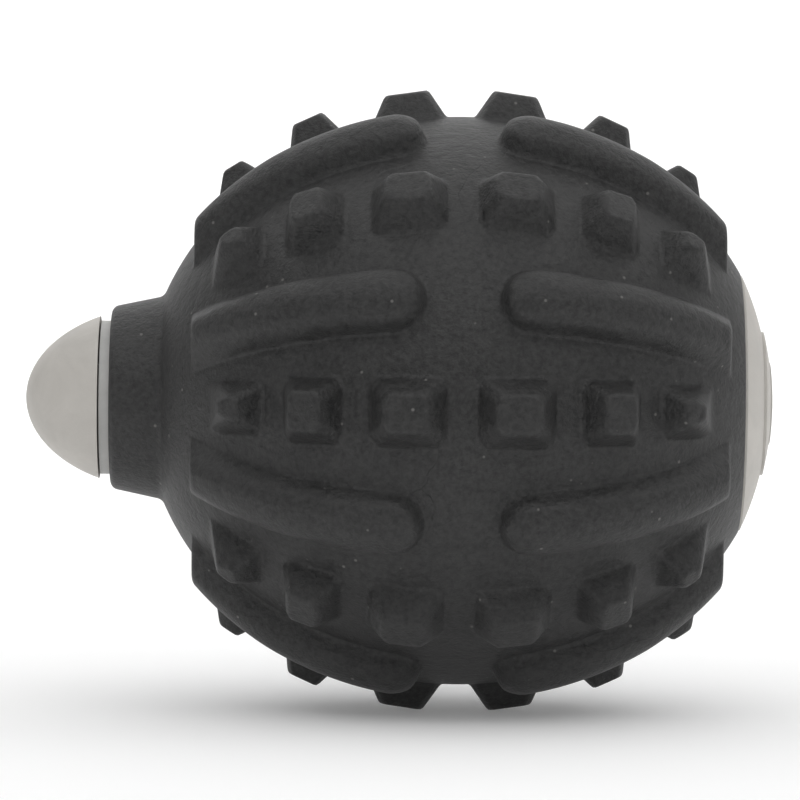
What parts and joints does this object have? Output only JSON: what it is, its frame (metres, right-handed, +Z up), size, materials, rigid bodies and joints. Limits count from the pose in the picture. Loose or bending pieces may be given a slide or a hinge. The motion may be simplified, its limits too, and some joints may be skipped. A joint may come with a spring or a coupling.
{
  "type": "vibrating massage ball",
  "caption": "Studded, ribbed rubber ellipsoid massage ball with a domed massage tip, a motor inside, and a domed end cap with a push button.",
  "frame": {"origin": "on the surface it rests on, under the middle of its overall length and width", "axes": "+X along the long axis from the massage tip to the power button, +Z up, a row of studs pointing straight down"},
  "size_m": [0.1196, 0.0994, 0.0994],
  "materials": {
    "rubber_black": "satin",
    "soft_grey": "satin",
    "ring_grey": "matte",
    "core_grey": "matte",
    "white_nylon": "matte",
    "black_plastic": "matte",
    "steel": "brushed",
    "brass": "satin",
    "copper": "satin",
    "sintered_bronze": "matte",
    "magnet_ferrite": "matte",
    "lamination_steel": "satin",
    "carbon": "matte",
    "board_green": "gloss",
    "cell_wrap": "satin",
    "seal_rubber": "matte",
    "foam": "matte",
    "clear": "gloss",
    "wire_red": "satin",
    "wire_black": "satin"
  },
  "bodies": {
    "ball": {"rubber_sleeve": "rubber_black", "core_shell_lower": "core_grey", "core_shell_upper": "core_grey", "shell_screws": "steel", "tip_dome": "soft_grey", "tip_insert": "brass", "tip_screw": "steel", "tip_mount": "ring_grey", "neck_o_ring": "seal_rubber", "end_cap": "soft_grey", "cap_gasket": "seal_rubber", "cap_screws": "steel", "button_bezel": "soft_grey", "control_board": "board_green", "board_screws": "steel", "board_chips": "black_plastic", "switch_housing": "black_plastic", "charging_jack": "black_plastic", "jack_pin": "brass", "status_led": "clear", "light_pipe": "clear", "chassis_plate": "core_grey", "chassis_screws": "steel", "battery_cradle": "white_nylon", "battery_cell": "cell_wrap", "cell_tabs": "steel", "battery_clamp": "white_nylon", "cell_pad": "foam", "clamp_screws": "steel", "motor_can": "steel", "motor_end_bell": "black_plastic", "motor_bushes": "sintered_bronze", "motor_magnets": "magnet_ferrite", "motor_brushes": "carbon", "motor_terminals": "brass", "motor_bracket": "steel", "motor_face_screws": "steel", "motor_strap": "steel", "motor_pad": "seal_rubber", "mount_screws": "steel", "motor_lead_red": "wire_red", "motor_lead_black": "wire_black", "battery_lead_red": "wire_red", "battery_lead_black": "wire_black"},
    "rotor": {"motor_shaft": "steel", "motor_armature": "lamination_steel", "motor_commutator": "copper", "eccentric_weight": "brass", "weight_grub_screw": "steel"},
    "button": {"power_button": "soft_grey", "switch_plunger": "white_nylon"}
  },
  "joints": [
    {"name": "motor_spin", "type": "hinge", "parent": "ball", "child": "rotor", "pos_m": [0.00941, 0, 0.03508], "axis": [1, 0, 0], "continuous": true},
    {"name": "button_press", "type": "slide", "parent": "ball", "child": "button", "axis": [-1, 0, 0], "range_m": [0, 0.0006], "stiffness_N_per_m": 2500, "springref_m": -0.0004}
  ]
}
